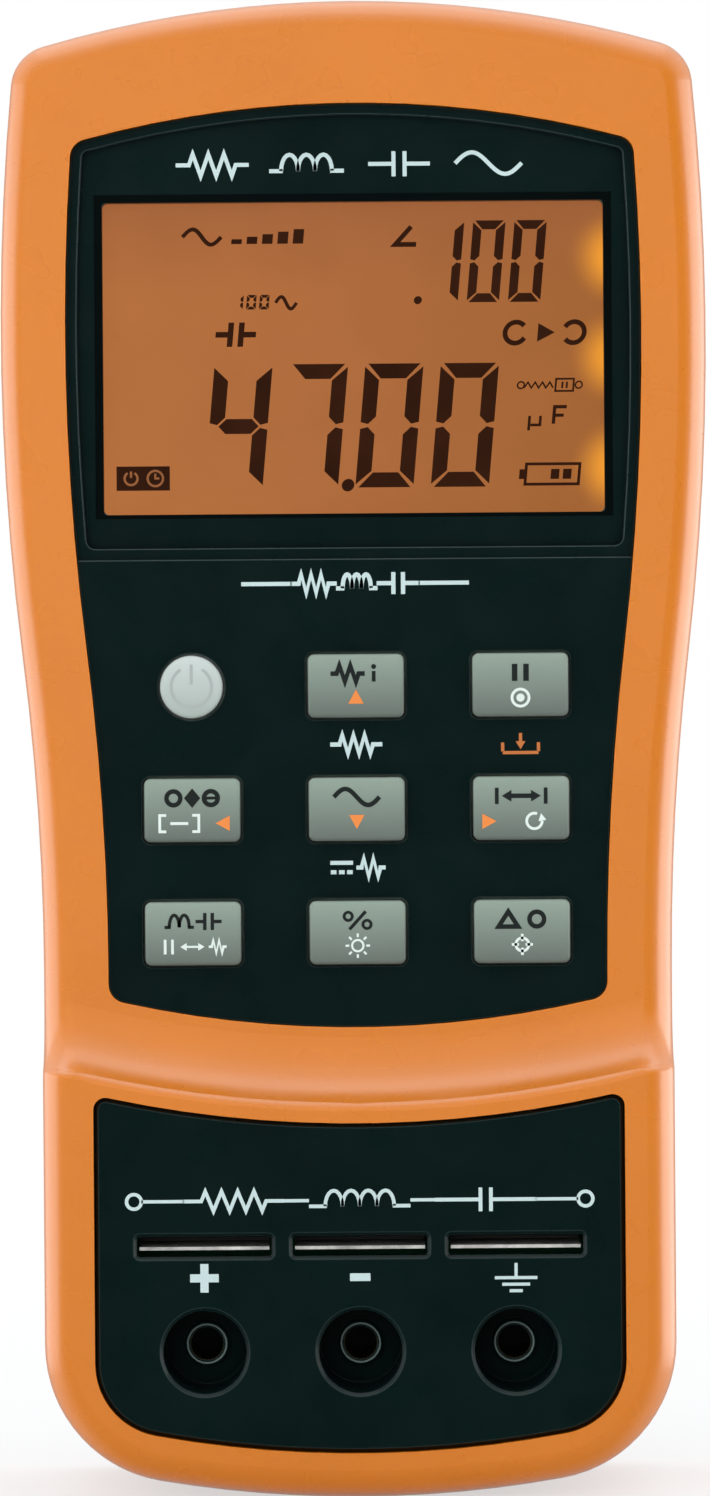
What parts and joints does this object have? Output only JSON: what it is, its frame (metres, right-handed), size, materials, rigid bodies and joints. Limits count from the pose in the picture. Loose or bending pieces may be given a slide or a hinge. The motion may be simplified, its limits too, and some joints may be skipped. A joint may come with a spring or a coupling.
{
  "type": "handheld lcr meter",
  "caption": "Handheld component meter: waisted rubber-edged case, lit display, push keys, raised block with test slots and plug sockets, tilt stand and battery cover.",
  "frame": {"origin": "bottom centre of the case: middle of its width and depth, at the lowest point of the lower edge", "axes": "+X to the meter's right seen from the front, +Y from the front to the back, +Z from the sockets up to the display"},
  "size_m": [0.087, 0.041, 0.184],
  "materials": {
    "dark_plastic": "fine satin",
    "rear_plastic": "fine spark texture",
    "orange_rubber": "soft matte overmould",
    "key_plastic": "satin grey-green",
    "power_key": "satin pale grey",
    "steel": "zinc plated",
    "brass_parts": "turned",
    "plated_contacts": "nickel plated spring strip",
    "battery_paint": "lacquered steel jacket",
    "cell_wrap": "shrink wrap",
    "red_lead": "PVC",
    "black_lead": "PVC",
    "foam": "foam",
    "black_foam": "adhesive foam",
    "silicone": "silicone",
    "clear_window": "clear polycarbonate",
    "lcd": "lit orange liquid-crystal glass",
    "light_guide": "frosted acrylic",
    "led_strip": "LED strip",
    "circuit_board": "solder mask",
    "chip_mould": "epoxy mould",
    "capacitor_cans": "drawn can"
  },
  "bodies": {
    "case": {"front_housing": "dark_plastic", "front_overmold": "orange_rubber", "terminal_panel": "dark_plastic", "rear_housing": "rear_plastic", "rear_overmold": "orange_rubber", "stand_hinge_pins": "steel", "cover_screw_inserts": "brass_parts", "battery_jacket": "battery_paint", "battery_ends": "dark_plastic", "battery_cells": "cell_wrap", "battery_terminals": "plated_contacts", "battery_snap": "dark_plastic", "battery_lead_red": "red_lead", "battery_lead_black": "black_lead", "keypad_mat": "silicone", "window_gasket": "black_foam", "display_window": "clear_window", "lcd_glass": "lcd", "lcd_frame": "dark_plastic", "backlight_guide": "light_guide", "backlight_leds": "led_strip", "zebra_connectors": "silicone", "main_board": "circuit_board", "banana_sockets": "brass_parts", "socket_insulators": "dark_plastic", "slot_contacts": "plated_contacts", "dc_jack": "dark_plastic", "measuring_chip": "chip_mould", "chip_legs": "plated_contacts", "shield_can": "steel", "buzzer": "chip_mould", "crystal": "steel", "capacitors": "capacitor_cans", "small_parts": "chip_mould", "case_screws": "steel", "board_screws": "steel"},
    "stand": {"tilt_stand": "rear_plastic"},
    "cover": {"battery_cover": "rear_plastic", "battery_cover_screws": "steel", "battery_foam": "foam"},
    "key_power": {"key_power": "power_key"},
    "key_auto": {"key_auto": "key_plastic"},
    "key_mode": {"key_mode": "key_plastic"},
    "key_left": {"key_left": "key_plastic"},
    "key_down": {"key_down": "key_plastic"},
    "key_right": {"key_right": "key_plastic"},
    "key_null": {"key_null": "key_plastic"},
    "key_light": {"key_light": "key_plastic"},
    "key_delta": {"key_delta": "key_plastic"}
  },
  "joints": [
    {"name": "key_power_press", "type": "slide", "parent": "case", "child": "key_power", "axis": [0, 1, 0], "range_m": [0, 0.0012], "stiffness_N_per_m": 1500},
    {"name": "key_auto_press", "type": "slide", "parent": "case", "child": "key_auto", "axis": [0, 1, 0], "range_m": [0, 0.0012], "stiffness_N_per_m": 1500},
    {"name": "key_mode_press", "type": "slide", "parent": "case", "child": "key_mode", "axis": [0, 1, 0], "range_m": [0, 0.0012], "stiffness_N_per_m": 1500},
    {"name": "key_left_press", "type": "slide", "parent": "case", "child": "key_left", "axis": [0, 1, 0], "range_m": [0, 0.0012], "stiffness_N_per_m": 1500},
    {"name": "key_down_press", "type": "slide", "parent": "case", "child": "key_down", "axis": [0, 1, 0], "range_m": [0, 0.0012], "stiffness_N_per_m": 1500},
    {"name": "key_right_press", "type": "slide", "parent": "case", "child": "key_right", "axis": [0, 1, 0], "range_m": [0, 0.0012], "stiffness_N_per_m": 1500},
    {"name": "key_null_press", "type": "slide", "parent": "case", "child": "key_null", "axis": [0, 1, 0], "range_m": [0, 0.0012], "stiffness_N_per_m": 1500},
    {"name": "key_light_press", "type": "slide", "parent": "case", "child": "key_light", "axis": [0, 1, 0], "range_m": [0, 0.0012], "stiffness_N_per_m": 1500},
    {"name": "key_delta_press", "type": "slide", "parent": "case", "child": "key_delta", "axis": [0, 1, 0], "range_m": [0, 0.0012], "stiffness_N_per_m": 1500},
    {"name": "stand_hinge", "type": "hinge", "parent": "case", "child": "stand", "pos_m": [0, 0.0181, 0.15], "axis": [1, 0, 0], "range_deg": [0, 62]},
    {"name": "cover_lift", "type": "slide", "parent": "case", "child": "cover", "axis": [0, 1, 0], "range_m": [0, 0.025]}
  ]
}
